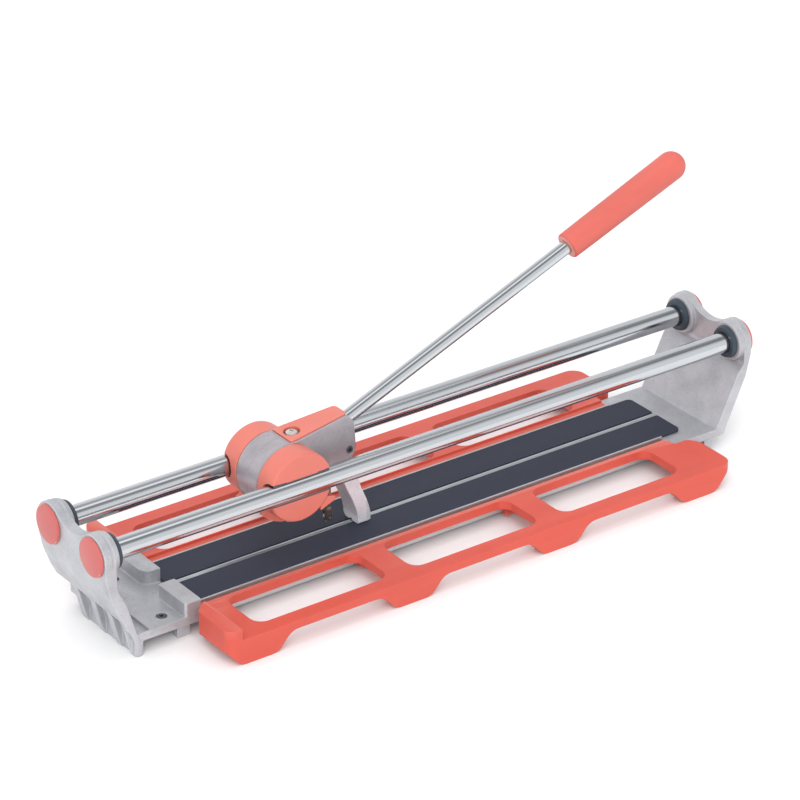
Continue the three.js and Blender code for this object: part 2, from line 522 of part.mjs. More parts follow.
function wheelHolder() {
  const stem = cylinder('z', STEM.r, STEM.bottom, STEM.top, [STEM.x, 0, 0], 16);
  const fork = turned('z', [[-61, 0], [-61, 3.2], [-59.5, STEM.forkR], [-50, STEM.forkR], [-48.5, STEM.r],
    [-48.5, 0]], [STEM.x, 0, 0], 16);
  const slot = box(STEM.x - 6, STEM.x + 6, -WHEEL.half - GAP, WHEEL.half + GAP, -65, WHEEL.z + 6);
  return cut(join(stem, fork), slot, cylinder('y', 1.1, -6, 6, [STEM.x, 0, WHEEL.z], 12));
}
add('wheel_holder', wheelHolder(), steel(), lever);
add('wheel_axle', cylinder('y', 0.8, -3.8, 3.8, [STEM.x, 0, WHEEL.z], 12), steel(), lever);
add('scoring_wheel', turned('y', [
  [-WHEEL.half, 1.1], [-WHEEL.half, 3.6], [0, WHEEL.r], [WHEEL.half, 3.6], [WHEEL.half, 1.1], [-WHEEL.half, 1.1],
], [STEM.x, 0, WHEEL.z], 20), steel(), lever);

export default model;
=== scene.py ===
# The looks of a manual tile cutter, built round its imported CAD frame.
# Shapes are worked out in millimetres, in the CAD's own frame, and turned into metres by made().

import json
import math

import bmesh
import bpy
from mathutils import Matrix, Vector


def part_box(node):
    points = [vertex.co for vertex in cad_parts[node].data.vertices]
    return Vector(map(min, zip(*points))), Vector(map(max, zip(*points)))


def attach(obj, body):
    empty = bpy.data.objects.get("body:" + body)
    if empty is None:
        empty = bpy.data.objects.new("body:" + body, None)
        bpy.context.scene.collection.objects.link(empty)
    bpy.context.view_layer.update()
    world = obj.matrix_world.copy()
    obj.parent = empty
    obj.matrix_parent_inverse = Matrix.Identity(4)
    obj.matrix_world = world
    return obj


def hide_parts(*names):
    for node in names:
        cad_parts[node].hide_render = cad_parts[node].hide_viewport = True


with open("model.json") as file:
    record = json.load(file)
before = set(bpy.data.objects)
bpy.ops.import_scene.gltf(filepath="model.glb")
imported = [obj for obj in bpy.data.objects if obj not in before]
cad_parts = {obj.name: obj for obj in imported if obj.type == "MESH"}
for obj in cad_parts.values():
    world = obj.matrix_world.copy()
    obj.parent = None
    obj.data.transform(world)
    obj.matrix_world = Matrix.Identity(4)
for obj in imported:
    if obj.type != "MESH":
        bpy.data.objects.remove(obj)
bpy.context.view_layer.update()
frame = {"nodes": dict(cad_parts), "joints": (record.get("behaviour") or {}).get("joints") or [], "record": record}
SCENE = bpy.context.scene
MM = 0.001
WELD = 1e-7  # corners this close, in metres, become one

# ------------------------------------------------------------------ sizes, from the frame


def span(node):
    """Lowest and highest corner of a CAD node, in millimetres."""
    low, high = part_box(node)
    return [round(v / MM, 3) for v in low], [round(v / MM, 3) for v in high]


def joint_place(name):
    """A joint's point, in millimetres."""
    return [v / MM for v in next(j for j in frame["joints"] if j["name"] == name)["pos_m"]]


SIDES = (("front", -1), ("back", 1))
rail_low, rail_high = span("rail_back")
RAIL_R = (rail_high[2] - rail_low[2]) / 2
RAIL_Y = (rail_low[1] + rail_high[1]) / 2
RAIL_Z = (rail_low[2] + rail_high[2]) / 2
RAIL_ENDS = (rail_low[0], rail_high[0])
PIVOT_X, _, PIVOT_Z = joint_place("lever_pivot")
WHEEL_X, _, WHEEL_Z = joint_place("wheel_spin")
LEVER_ANGLE = math.radians(22.1)
PAD_TOP = span("pad_front")[1][2]
DECK = span("pad_front")[0][2] - 0.3
BED_FROM, BED_TO = span("stop_end_support")[1][0], span("far_end_support")[0][0]
GAP = 0.3

# ------------------------------------------------------------------ mesh making


def made(name, verts, faces):
    """A new object from vertices in millimetres, with merged corners and faces pointing out."""
    mesh = bpy.data.meshes.new(name)
    mesh.from_pydata([Vector(v) * MM for v in verts], [], faces)
    shape = bmesh.new()
    shape.from_mesh(mesh)
    bmesh.ops.remove_doubles(shape, verts=shape.verts, dist=WELD)
    bmesh.ops.recalc_face_normals(shape, faces=shape.faces)
    shape.to_mesh(mesh)
    shape.free()
    piece = bpy.data.objects.new(name, mesh)
    SCENE.collection.objects.link(piece)
    return piece


def at(axis, u, v, w):
    """The point at u, v across an axis and w along it."""
    return {"x": (w, u, v), "y": (u, w, v), "z": (u, v, w)}[axis]


def rounded(corners, steps=6, closed=True):
    """Outline points from corners (u, v) or (u, v, radius): a radius turns the corner into an arc."""
    points = []
    for i, corner in enumerate(corners):
        here = Vector(corner[:2])
        radius = corner[2] if len(corner) > 2 else 0
        if not radius or (not closed and i in (0, len(corners) - 1)):
            points.append(tuple(here))
            continue
        back = (Vector(corners[i - 1][:2]) - here).normalized()
        ahead = (Vector(corners[(i + 1) % len(corners)][:2]) - here).normalized()
        half = back.angle(ahead) / 2
        centre = here + (back + ahead).normalized() * radius / math.sin(half)
        start = here + back * radius / math.tan(half) - centre
        end = here + ahead * radius / math.tan(half) - centre
        first = math.atan2(start.y, start.x)
        sweep = (math.atan2(end.y, end.x) - first + math.pi) % (2 * math.pi) - math.pi
        for k in range(steps + 1):
            angle = first + sweep * k / steps
            points.append((centre.x + radius * math.cos(angle), centre.y + radius * math.sin(angle)))
    return points


def bezier(p0, p1, p2, p3, steps=14):
    """Points along a cubic curve, without its first point."""
    a, b, c, d = (Vector(p) for p in (p0, p1, p2, p3))
    return [
        tuple(a * (1 - t) ** 3 + b * 3 * t * (1 - t) ** 2 + c * 3 * t * t * (1 - t) + d * t ** 3)
        for t in (k / steps for k in range(1, steps + 1))
    ]


def prism(name, axis, outline, low, high):
    """An outline across the axis, drawn out from low to high."""
    count = len(outline)
    verts = [at(axis, u, v, w) for w in (low, high) for u, v in outline]
    sides = [(i, (i + 1) % count, count + (i + 1) % count, count + i) for i in range(count)]
    return made(name, verts, sides + [tuple(range(count)), tuple(range(count, 2 * count))])


def block(name, x, y, z):
    """A box between pairs of limits, to join or cut with."""
    return prism(name, "z", [(x[0], y[0]), (x[1], y[0]), (x[1], y[1]), (x[0], y[1])], *z)


def turned(name, axis, profile, centre=(0, 0, 0), steps=96):
    """A profile of (place along the axis, radius) pairs, turned round the axis. It closes on itself
    if its last point is its first, or else on the axis, where a flat end becomes one face."""
    looped = profile[0] == profile[-1]
    rows = list(profile[:-1] if looped else profile)
    flat_start = not looped and rows[0][1] == 0 and rows[1][0] == rows[0][0]
    flat_end = not looped and rows[-1][1] == 0 and rows[-2][0] == rows[-1][0]
    rows = rows[int(flat_start):len(rows) - int(flat_end)]
    verts = []
    for t, r in rows:
        for k in range(steps):
            angle = 2 * math.pi * k / steps
            point = at(axis, r * math.cos(angle), r * math.sin(angle), t)
            verts.append([p + c for p, c in zip(point, centre)])
    faces = []
    for i in range(len(rows) - (0 if looped else 1)):
        j = (i + 1) % len(rows)
        for k in range(steps):
            n = (k + 1) % steps
            quad = (i * steps + k, i * steps + n, j * steps + n, j * steps + k)
            if rows[i][1] == 0:
                quad = (i * steps, *quad[2:])
            elif rows[j][1] == 0:
                quad = quad[:3]
            faces.append(quad)
    if flat_start:
        faces.append(tuple(range(steps)))
    if flat_end:
        last = (len(rows) - 1) * steps
        faces.append(tuple(range(last, last + steps)))
    return made(name, verts, faces)


def rod(name, axis, radius, low, high, centre=(0, 0, 0), steps=64):
    """A plain round bar, to join or cut with."""
    return turned(name, axis, [(low, 0), (low, radius), (high, radius), (high, 0)], centre, steps)


def settle(piece):
    """Makes the result of a piece's modifiers its own mesh."""
    graph = bpy.context.evaluated_depsgraph_get()
    mesh = bpy.data.meshes.new_from_object(piece.evaluated_get(graph))
    piece.modifiers.clear()
    piece.data = mesh
    return piece


def combine(operation, body, *tools):
    for tool in tools:
        step = body.modifiers.new("combine", "BOOLEAN")
        step.operation = operation
        step.solver = "EXACT"
        step.object = tool
        settle(body)
        bpy.data.objects.remove(tool)
    return body


def join(body, *tools):
    return combine("UNION", body, *tools)


def cut(body, *tools):
    return combine("DIFFERENCE", body, *tools)


def common(body, *tools):
    return combine("INTERSECT", body, *tools)


def smooth(piece, angle=30):
    piece.data.shade_smooth()
    piece.data.set_sharp_from_angle(angle=math.radians(angle))
    return piece


def ease(piece, width, segments=3, angle=30):
    """Rounds every edge sharper than the angle, as a tool or a mould leaves it."""
    step = piece.modifiers.new("ease", "BEVEL")
    step.width = width * MM
    step.segments = segments
    step.limit_method = "ANGLE"
    step.angle_limit = math.radians(angle)
    step.miter_outer = "MITER_ARC"
    settle(piece)
    smooth(piece, 50)
    even = piece.modifiers.new("even", "WEIGHTED_NORMAL")
    even.keep_sharp = True
    return settle(piece)


def cast(piece, grain=0.7, passes=5, keep=0.5):
    """Gives a joined-up shape the soft edges and filled corners of a casting."""
    skin = piece.modifiers.new("skin", "REMESH")
    skin.mode = "VOXEL"
    skin.voxel_size = grain * MM
    soft = piece.modifiers.new("soft", "SMOOTH")
    soft.factor = 0.5
    soft.iterations = passes
    fewer = piece.modifiers.new("fewer", "DECIMATE")
    fewer.ratio = keep
    settle(piece)
    return smooth(piece, 180)


# ------------------------------------------------------------------ materials


class Recipe:
    """A material's node tree, with short ways to add and link nodes."""

    def __init__(self, name):
        self.material = bpy.data.materials.new(name)
        self.material.use_nodes = True
        self.tree = self.material.node_tree
        self.shader = self.tree.nodes["Principled BSDF"]
        self.place = self.add("ShaderNodeTexCoord").outputs["Object"]

    def add(self, kind, **values):
        node = self.tree.nodes.new(kind)
        for key, value in values.items():
            if hasattr(node, key):
                setattr(node, key, value)
            else:
                node.inputs[key.replace("_", " ")].default_value = value
        return node

    def link(self, output, node, socket):
        self.tree.links.new(output, node.inputs[socket])

    def noise(self, scale, detail=4, roughness=0.55, stretch=None):
        """Noise with features of about 1/scale metres, stretched by the given factors."""
        place = self.place
        if stretch:
            mapping = self.add("ShaderNodeMapping")
            mapping.inputs["Scale"].default_value = stretch
            self.link(place, mapping, "Vector")
            place = mapping.outputs["Vector"]
        node = self.add("ShaderNodeTexNoise", Scale=scale, Detail=detail, Roughness=roughness)
        self.link(place, node, "Vector")
        return node.outputs["Fac"]

    def ramp(self, factor, *stops):
        """Colours at places along 0 to 1; a stop is (place, grey) or (place, (r, g, b))."""
        node = self.add("ShaderNodeValToRGB")
        while len(node.color_ramp.elements) < len(stops):
            node.color_ramp.elements.new(0.5)
        for element, (place, colour) in zip(node.color_ramp.elements, stops):
            element.position = place
            grey = (colour,) * 3 if isinstance(colour, (int, float)) else colour
            element.color = (*grey, 1)
        self.link(factor, node, "Fac")
        return node.outputs["Color"]

    def mix(self, factor, first, second):
        """Between two colours, by a factor that is a number or an output."""
        node = self.add("ShaderNodeMix", data_type="RGBA")
        for value, socket in ((factor, 0), (first, 6), (second, 7)):
            if isinstance(value, (int, float)):
                node.inputs[socket].default_value = value
            elif isinstance(value, tuple):
                node.inputs[socket].default_value = (*value, 1)
            else:
                self.tree.links.new(value, node.inputs[socket])
        return node.outputs[2]

    def bump(self, *layers):
        """Surface relief from (height output, strength, depth in metres) layers."""
        normal = None
        for height, strength, depth in layers:
            node = self.add("ShaderNodeBump", Strength=strength, Distance=depth)
            self.link(height, node, "Height")
            if normal:
                self.link(normal, node, "Normal")
            normal = node.outputs["Normal"]
        self.link(normal, self.shader, "Normal")

    def set(self, **values):
        for key, value in values.items():
            socket = self.shader.inputs[key.replace("_", " ")]
            if isinstance(value, (int, float)):
                socket.default_value = value
            elif isinstance(value, tuple):
                socket.default_value = (*value, 1)
            else:
                self.tree.links.new(value, socket)


def linear(red, green, blue):
    """A screen colour, 0 to 255, as light."""
    return tuple(((v / 255 + 0.055) / 1.055) ** 2.4 if v > 10 else v / 3294 for v in (red, green, blue))


def scaled(colour, factor):
    return tuple(min(1.0, v * factor) for v in colour)


def moulded(name, colour, roughness, grain=1400, relief=0.06):
    """Moulded plastic: an even colour with faint flow marks, a fine spark texture and paler edges, part wear and
    part painted highlight.
    """
    m = Recipe(name)
    flow = m.noise(14, detail=3, stretch=(0.6, 1.4, 1.4))
    speck = m.noise(grain, detail=2)
    # Convex edges, found by pointiness, get a paler colour: partly worn plastic, partly a painted edge highlight.
    edge = m.ramp(m.add("ShaderNodeNewGeometry").outputs["Pointiness"], (0.52, 0.0), (0.60, 1.0))
    body = m.mix(m.ramp(flow, (0.35, 0.0), (0.68, 1.0)), scaled(colour, 0.94), scaled(colour, 1.04))
    edge_wear_and_highlight = (0.95, 0.62, 0.52) if colour[0] > 0.4 else (0.3, 0.3, 0.32)
    m.set(Base_Color=m.mix(edge, body, m.mix(0.35, body, edge_wear_and_highlight)))
    m.set(Roughness=m.ramp(m.noise(60, detail=5), (0.3, roughness - 0.05), (0.7, roughness + 0.07)))
    m.bump((speck, relief * 4, 0.00008), (flow, relief, 0.0006))
    return m.material


def cast_metal(name, colour, roughness, pits=0.5, metallic=0.55):
    """Blasted casting: mottled grey, a sandy skin, small pits and brighter edges, part wear and part painted
    highlight.
    """
    m = Recipe(name)
    mottle = m.noise(45, detail=6, roughness=0.65)
    sand = m.noise(900, detail=3, roughness=0.7)
    pit = m.ramp(m.noise(330, detail=2), (0.27, 0.0), (0.36, 1.0))
    # Convex edges, found by pointiness, are brightened: partly worn metal, partly a painted edge highlight.
    edge = m.ramp(m.add("ShaderNodeNewGeometry").outputs["Pointiness"], (0.51, 0.0), (0.58, 1.0))
    body = m.mix(m.ramp(mottle, (0.32, 0.0), (0.7, 1.0)), scaled(colour, 0.84), scaled(colour, 1.07))
    body = m.mix(m.ramp(sand, (0.42, 0.0), (0.7, 0.5)), body, scaled(colour, 1.3))
    body = m.mix(pit, scaled(colour, 0.86), body)
    m.set(Base_Color=m.mix(edge, body, scaled(colour, 1.25)), Metallic=metallic)
    m.set(Roughness=m.ramp(mottle, (0.3, roughness + 0.06), (0.7, roughness - 0.06)))
    m.bump((sand, 0.3, 0.00018), (pit, pits, 0.00015), (mottle, 0.1, 0.0006))
    return m.material


def chrome_plate(name):
    """Polished chrome with faint polishing lines along the bar and a few cloudy patches."""
    m = Recipe(name)
    lines = m.noise(1, detail=2, stretch=(9, 1600, 1600))
    cloud = m.noise(22, detail=4)
    m.set(Base_Color=m.mix(cloud, linear(199, 204, 208), linear(207, 210, 212)), Metallic=1.0)
    m.set(Roughness=m.ramp(cloud, (0.35, 0.10), (0.75, 0.17)))
    m.bump((lines, 0.02, 0.00002))
    return m.material


def ribbed_rubber(name):
    """Dark rubber sheet: matt, finely grained, with a little dust in the grain."""
    m = Recipe(name)
    grain = m.noise(1300, detail=3, roughness=0.6)
    cloud = m.noise(24, detail=5, roughness=0.6)
    base = m.mix(m.ramp(cloud, (0.3, 0.0), (0.75, 1.0)), linear(44, 48, 62), linear(54, 57, 71))
    m.set(Base_Color=m.mix(m.ramp(grain, (0.55, 0.0), (0.8, 0.5)), base, linear(76, 76, 90)))
    m.set(Roughness=m.ramp(cloud, (0.3, 0.62), (0.7, 0.78)), Specular_IOR_Level=0.35)
    m.bump((grain, 0.45, 0.00015))
    return m.material


def drawn_metal(name, colour, roughness, stretch=(6, 900, 900), relief=0.12):
    """Extruded, turned or plated metal with fine lines along its length."""
    m = Recipe(name)
    lines = m.noise(1, detail=3, stretch=stretch)
    cloud = m.noise(70, detail=4)
    tone = m.ramp(lines, (0.3, 0.0), (0.7, 1.0))
    m.set(Base_Color=m.mix(tone, scaled(colour, 0.86), scaled(colour, 1.06)))
    m.set(Metallic=0.8, Roughness=m.ramp(cloud, (0.3, roughness - 0.05), (0.7, roughness + 0.08)))
    m.bump((lines, relief, 0.00006))
    return m.material


def floor_paint(name):
    """A plain pale floor with the slightest unevenness."""
    m = Recipe(name)
    m.set(Base_Color=m.mix(m.noise(3, detail=2), (0.86, 0.86, 0.86), (0.88, 0.88, 0.88)), Roughness=0.9)
    return m.material


MATERIALS = {
    "orange_plastic": moulded("orange_plastic", linear(204, 80, 64), 0.45),
    "grip_plastic": moulded("grip_plastic", linear(202, 96, 85), 0.5, grain=1000, relief=0.08),
    "chrome": chrome_plate("chrome"),
    "cast_aluminium": cast_metal("cast_aluminium", linear(185, 186, 190), 0.46, pits=0.45),
    "grey_casting": cast_metal("grey_casting", linear(171, 166, 171), 0.4, pits=0.35),
    "extruded_aluminium": drawn_metal("extruded_aluminium", linear(205, 206, 208), 0.36),
    "steel": drawn_metal("steel", linear(222, 220, 214), 0.28, stretch=(260, 260, 260)),
    "black_steel": drawn_metal("black_steel", linear(106, 110, 120), 0.42, stretch=(420, 420, 420)),
    "hard_metal": drawn_metal("hard_metal", linear(150, 152, 156), 0.22, stretch=(700, 700, 700)),
    "pad_rubber": ribbed_rubber("pad_rubber"),
    "slate_plastic": moulded("slate_plastic", linear(50, 62, 72), 0.5, grain=1600),
    "bronze": drawn_metal("bronze", linear(168, 130, 76), 0.35, stretch=(500, 500, 500)),
}
# Some pieces of a slot get their own copy of its material, each in its own colour.
SHADES = {
    "pale_orange": moulded("pale_orange", linear(210, 114, 100), 0.4),
    "cap_orange": moulded("cap_orange", linear(193, 97, 93), 0.35),
    # The breaker's casting, lightened to carry a painted highlight and painted reflection.
    "casting_with_painted_highlight": cast_metal("casting_with_painted_highlight", linear(226, 226, 231), 0.36, pits=0.2, metallic=0.3),
    "ridge_steel": drawn_metal("ridge_steel", linear(188, 195, 198), 0.32, stretch=(40, 700, 700)),
    "dull_steel": drawn_metal("dull_steel", linear(118, 113, 108), 0.4, stretch=(260, 260, 260)),
}
SLOT_OF = {row["node"]: row["material_slot"] for row in frame["record"]["subparts"]}


def wear(piece, material):
    """Gives a piece one material in place of what it had."""
    piece.data.materials.clear()
    piece.data.materials.append(material)


def stand_for(piece, body, *nodes, shade=None):
    """Finishes a piece: it rides on the body and takes the place and the material of its CAD nodes."""
    slot = SLOT_OF[nodes[0]]
    wear(piece, SHADES[shade] if shade else MATERIALS[slot])
    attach(piece, body)
    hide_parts(*nodes)
    return piece


# ------------------------------------------------------------------ camera, floor and light
CAMERA = {
    "azimuth": -35.82, "elevation": 27.38, "distance": 3.1344, "target": (-0.0104, 0.0, 0.1196),
    "lens": 170.4, "sensor": 36, "reach": 50,
}
FLOOR_HALF = 6000


def make_camera():
    """Looks at the target from an azimuth, counted from the front, and an elevation."""
    a, e = math.radians(CAMERA["azimuth"]), math.radians(CAMERA["elevation"])
    back = Vector((math.sin(a) * math.cos(e), -math.cos(a) * math.cos(e), math.sin(e)))
    camera = bpy.data.objects.new("camera", bpy.data.cameras.new("camera"))
    camera.data.sensor_width = CAMERA["sensor"]
    camera.data.lens = CAMERA["lens"]
    camera.data.clip_end = CAMERA["reach"]
    camera.location = Vector(CAMERA["target"]) + back * CAMERA["distance"]
    camera.rotation_mode = "QUATERNION"
    camera.rotation_quaternion = (-back).to_track_quat("-Z", "Y")
    SCENE.collection.objects.link(camera)
    SCENE.camera = camera


def make_floor():
    corners = [(u * FLOOR_HALF, v * FLOOR_HALF, 0) for u, v in ((-1, -1), (1, -1), (1, 1), (-1, 1))]
    floor = made("floor", corners, [(0, 1, 2, 3)])
    floor.data.materials.append(floor_paint("floor_paint"))


def make_soft_light(name, towards, power, spread):
    """Even light from one side, softened by its spread in degrees, that leaves the reflections alone."""
    light = bpy.data.objects.new(name, bpy.data.lights.new(name, "SUN"))
    light.data.energy = power
    light.data.angle = math.radians(spread)
    light.visible_glossy = False
    light.rotation_mode = "QUATERNION"
    light.rotation_quaternion = Vector(towards).to_track_quat("-Z", "Y")
    SCENE.collection.objects.link(light)


# Brightness of the studio round the object, as the bars reflect it: from the front horizon at 0,
# over the top at 90 degrees, to the back horizon at 180. A bright strip overhead fades to the right.
STUDIO_LEFT = (
    (0, 0.98), (38, 0.94), (48, 0.42), (62, 0.30), (72, 0.44), (78, 1.35), (90, 1.35), (96, 0.60),
    (110, 0.44), (128, 0.75), (142, 1.0), (180, 1.05),
)
STUDIO_RIGHT = (
    (0, 0.98), (38, 0.96), (54, 0.80), (66, 0.27), (84, 0.21), (92, 0.27), (98, 0.40), (110, 0.85),
    (126, 0.95), (142, 0.85), (180, 1.0),
)
# Where the left ramp hands over to the right one, as the X part of a direction.
STUDIO_SIDES = (0.47, 0.58)
COOL = 1.02  # how much stronger the studio's blue is


def make_studio():
    """The surroundings that light the object softly and show in its bright bars."""
    world = bpy.data.worlds.new("studio")
    world.use_nodes = True
    SCENE.world = world
    nodes, links = world.node_tree.nodes, world.node_tree.links
    direction = nodes.new("ShaderNodeSeparateXYZ")
    links.new(nodes.new("ShaderNodeTexCoord").outputs["Generated"], direction.inputs[0])

    def math_node(operation, first, second):
        node = nodes.new("ShaderNodeMath")
        node.operation = operation
        for socket, value in zip(node.inputs, (first, second)):
            if isinstance(value, (int, float)):
                socket.default_value = value
            else:
                links.new(value, socket)
        return node.outputs[0]

    def studio_ramp(factor, stops):
        node = nodes.new("ShaderNodeValToRGB")
        while len(node.color_ramp.elements) < len(stops):
            node.color_ramp.elements.new(0.5)
        for element, (degrees, grey) in zip(node.color_ramp.elements, stops):
            element.position = degrees / 180
            element.color = (grey, grey, grey * COOL, 1)
        links.new(factor, node.inputs["Fac"])
        return node.outputs["Color"]

    forward = math_node("MULTIPLY", direction.outputs["Y"], -1)
    turn = math_node("DIVIDE", math_node("ARCTAN2", direction.outputs["Z"], forward), math.pi)
    side = nodes.new("ShaderNodeMapRange")
    links.new(direction.outputs["X"], side.inputs["Value"])
    side.inputs["From Min"].default_value, side.inputs["From Max"].default_value = STUDIO_SIDES
    blend = nodes.new("ShaderNodeMix")
    blend.data_type = "RGBA"
    links.new(side.outputs["Result"], blend.inputs[0])
    links.new(studio_ramp(turn, STUDIO_LEFT), blend.inputs[6])
    links.new(studio_ramp(turn, STUDIO_RIGHT), blend.inputs[7])
    links.new(blend.outputs[2], nodes["Background"].inputs["Color"])
    SCENE.view_settings.view_transform = "Standard"


make_camera()
make_floor()
make_studio()
make_soft_light("key", (0.45, 0.62, -0.64), 1.9, 45)
make_soft_light("top", (-0.05, -0.1, -1), 0.9, 80)

# ------------------------------------------------------------------ bed
OFF_THE_ENDS = (-300, 300)  # a cut along the whole bed


def bed_profile():
    """The extrusion under the pads: low lips, two ribs, and a flange and a groove along each side."""
    half, lip, lip_top = 37.5, 35.9, PAD_TOP + 0.2
    wall, wall_foot, ceiling = 32, 12.8, 17
    rib_out, rib_in, rib_foot = 10, 8, 6
    flange_out, flange_half = 38.8, 288
    section = rounded([
        (-half, wall_foot), (-half, lip_top, 0.5), (-lip, lip_top, 0.4), (-lip, DECK),
        (lip, DECK), (lip, lip_top, 0.4), (half, lip_top, 0.5), (half, wall_foot),
        (wall, wall_foot), (wall, ceiling), (rib_out, ceiling), (rib_out, rib_foot),
        (rib_in, rib_foot), (rib_in, ceiling), (-rib_in, ceiling), (-rib_in, rib_foot),
        (-rib_out, rib_foot), (-rib_out, ceiling), (-wall, ceiling), (-wall, wall_foot),
    ], steps=4)
    piece = prism("bed_profile_skin", "x", section, BED_FROM + GAP, BED_TO - GAP)
    for _, side in SIDES:
        across = sorted((side * wall, side * flange_out))
        flange = block("flange", (-flange_half, flange_half), across, (rib_foot, wall_foot + 0.1))
        groove = rounded([(side * 37.0, 18.2), (side * 38.5, 17.6), (side * 38.5, 18.8)], steps=2)
        piece = cut(join(piece, flange), prism("groove", "x", groove, *OFF_THE_ENDS))
    stand_for(ease(piece, 0.25, 2), "frame", "bed_profile")


def pad(place, side):
    low, high = span(f"pad_{place}")
    inner, outer = 3.2, 35.5
    corners = [
        (low[0], side * inner, 0.8), (high[0], side * inner, 1.5), (high[0], side * outer, 5),
        (low[0], side * outer, 0.8),
    ]
    piece = prism(f"pad_{place}_skin", "z", rounded(corners), low[2], high[2])
    stand_for(ease(piece, 0.5, 3), "frame", f"pad_{place}")


def breaking_ridge():
    low, high = span("breaking_ridge")
    half, crest, top = 2.3, 0.6, high[2]
    section = rounded([
        (-half, low[2]), (half, low[2]), (half, top - 1, 0.5), (crest, top, 0.8), (-crest, top, 0.8),
        (-half, top - 1, 0.5),
    ])
    piece = prism("breaking_ridge_skin", "x", section, low[0], high[0])
    stand_for(ease(piece, 0.2, 2), "frame", "breaking_ridge", shade="ridge_steel")


bed_profile()
breaking_ridge()
for place, side in SIDES:
    pad(place, side)

# ------------------------------------------------------------------ end supports
BOSS = {"r": 19, "bolt_hole": 4.5, "cap_seat": 13, "let_in": 15}
SLAB = (13, DECK)
PLATE_HALF = 51.2
FENCE_TOP = span("wing_back")[1][2]
SADDLE = {"z": 135.1, "r": 35.1, "half": 21.2}
# Along the rails: the outer face, the plate's and the bosses' inner faces, and the floor of a cap's seat.
STOP = {"outer": -330, "plate": -319.5, "boss": -315.5, "seat": -322}
FAR = {"outer": 329, "plate": 321.5, "boss": 316.5, "seat": 323.5}
TRAY_SCREW = {"x": -270.8, "y": 36, "bore": 2.3, "seat": 4.6, "seat_z": 16.4}
# Pockets in the foot of the stop end's plate: from side to side, and how far in.
POCKETS = ((-43.8, -29, -303), (-21.5, -4, -303), (3.5, 21, -303), (28.5, 60, -296))


def add_bosses(plate, end, outside):
    """Puts a rail boss on each side of a plate. The outline of its outside runs from the outer face to
    the inner one, and inside it are a bolt hole and a wider seat for the cap."""
    outer, inner, floor = end["outer"], end["boss"], end["seat"]
    hole, seat = BOSS["bolt_hole"], BOSS["cap_seat"]
    ring = rounded([*outside, (inner, hole), (floor, hole), (floor, seat), (outer, seat)], steps=4)
    through = sorted((outer, inner))
    for _, side in SIDES:
        centre = (0, side * RAIL_Y, RAIL_Z)
        opening = rod("boss_hole", "x", BOSS["let_in"], through[0] - 5, through[1] + 5, centre)
        plate = join(cut(plate, opening), turned("boss", "x", ring + ring[:1], centre, 72))
    return plate


def boss_bridge(end):
    """The plate between two bosses, dipping in the middle, let a little way into its neighbours."""
    reach = math.asin((SADDLE["half"] - 0.3) / SADDLE["r"])
    turns = [reach * (1 - k / 16) for k in range(33)]
    dip = [(SADDLE["r"] * math.sin(t), SADDLE["z"] - 0.15 - SADDLE["r"] * math.cos(t)) for t in turns]
    outline = [(-26, RAIL_Z - 5), (26, RAIL_Z - 5), (26, RAIL_Z + 8), *dip, (-26, RAIL_Z + 8)]
    low, high = sorted((end["outer"], end["plate"]))
    return prism("boss_bridge", "x", outline, low + 0.05, high - 0.05)


def foot_block(name, x, side, y, z=(0, 15)):
    """A square foot under a support, between two distances from the middle."""
    return block(name, x, sorted((side * y[0], side * y[1])), z)


def stop_end_plate():
    """The leaning plate of the stop end with its pockets, its bosses and the bridge between them."""
    outer, inner = STOP["outer"], STOP["boss"]
    plate = prism("stop_end_casting", "y", rounded([
        (-304.5, 0, 1.5), (-307.5, 8, 6), (-312.8, 30, 12), (-320, 44, 14), (-326.5, 62, 16),
        (outer, 80, 14), (outer, RAIL_Z), (STOP["plate"], RAIL_Z), (STOP["plate"], 66, 14),
        (-311.5, 50, 12), (-300.5, 13), (-298.5, 0, 1.5),
    ]), -PLATE_HALF, PLATE_HALF)
    outside, under = -340, -1
    for y0, y1, reach in POCKETS:
        pocket = rounded([
            (outside, under), (reach, under), (reach, 15, 4), (-306, 26, 5), (-313, 34, 5), (outside, 34),
        ])
        plate = cut(plate, prism("pocket", "y", pocket, y0, y1))
    corner = rounded([
        (outside, under), (-303.5, under), (-303.5, 10, 2), (-309.5, 24, 5), (-314, 28), (outside, 28),
    ])
    plate = cut(plate, prism("corner_pocket", "y", corner, -52, -45.3))
    return add_bosses(join(plate, boss_bridge(STOP)), STOP, [
        (outer, BOSS["r"], 0.6), (-323.5, BOSS["r"], 0.4), (-322.7, 18.0, 0.3), (-321.3, 18.0, 0.3),
        (-320.4, 18.8, 0.5), (inner, 17.2, 0.6),
    ])


